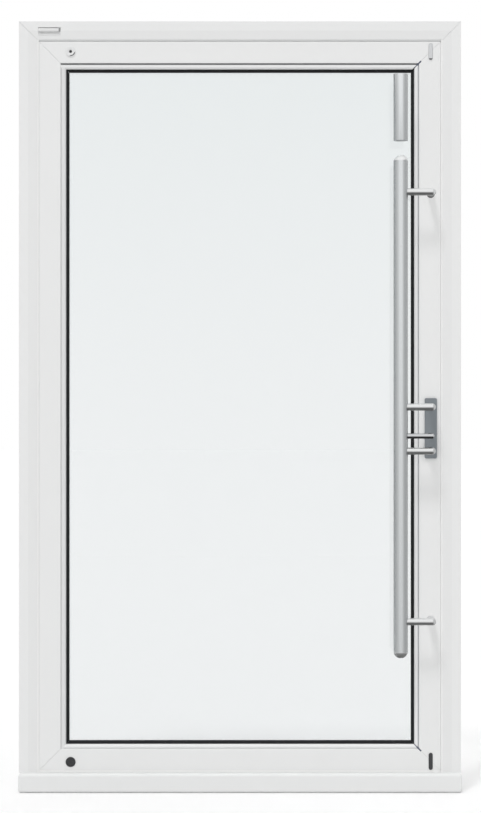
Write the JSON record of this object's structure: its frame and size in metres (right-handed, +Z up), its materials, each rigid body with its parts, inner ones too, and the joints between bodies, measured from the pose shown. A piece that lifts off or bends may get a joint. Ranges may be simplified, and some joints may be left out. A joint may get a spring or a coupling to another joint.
{
  "type": "pivot door",
  "caption": "Glazed pivot door in a mitred metal frame, with a long tubular pull bar on cranked brackets; the leaf turns on pins set in from one edge.",
  "frame": {"origin": "centre of the threshold's width on its underside, on the mid-plane of the frame's depth", "axes": "+X to the right seen from outside, +Y into the building, +Z up; the outside face looks along -Y"},
  "size_m": [1.24, 0.229, 2.16],
  "materials": {
    "white_coat": "satin powder coat, white",
    "bolt_grey": "light grey coat",
    "black_rubber": "matt",
    "dark_plastic": "matt, charcoal",
    "clear_glass": "clear, faint green-grey",
    "spacer_metal": "mill",
    "satin_steel": "satin",
    "dark_steel": "darkened satin",
    "plate_grey": "satin, mid grey",
    "pivot_steel": "bright"
  },
  "bodies": {
    "frame": {"left_jamb": "white_coat", "right_jamb": "white_coat", "head": "white_coat", "threshold": "white_coat", "head_cover_cap": "white_coat", "top_pivot_bearing": "pivot_steel", "floor_pivot_bearing": "pivot_steel", "strike_plate": "satin_steel"},
    "leaf": {"pivot_stile": "white_coat", "lock_stile": "white_coat", "top_rail": "white_coat", "bottom_rail": "white_coat", "top_bead": "white_coat", "bottom_bead": "white_coat", "pivot_bead": "white_coat", "lock_bead": "white_coat", "inside_beads": "white_coat", "top_pivot_cover": "white_coat", "top_bolt_cover": "bolt_grey", "outer_gasket": "black_rubber", "inner_gasket": "black_rubber", "bottom_pivot_cover": "dark_plastic", "low_bolt_cover": "dark_plastic", "outer_pane": "clear_glass", "inner_pane": "clear_glass", "pane_spacer": "spacer_metal", "pull_bar": "satin_steel", "pull_bar_caps": "satin_steel", "upper_bar": "satin_steel", "upper_bar_standoffs": "satin_steel", "upper_bracket": "satin_steel", "lower_bracket": "satin_steel", "lock_upper_bracket": "satin_steel", "lock_lower_bracket": "satin_steel", "inside_lever": "satin_steel", "lock_faceplate": "satin_steel", "lock_bolts": "satin_steel", "lock_rod": "dark_steel", "lock_escutcheon": "plate_grey", "inside_plate": "plate_grey", "top_pivot_shoe": "pivot_steel", "bottom_pivot_shoe": "pivot_steel"}
  },
  "joints": [
    {"name": "leaf_pivot", "type": "hinge", "parent": "frame", "child": "leaf", "pos_m": [-0.475, 0, 0.0585], "axis": [0, 0, 1], "range_deg": [0, 90]}
  ]
}
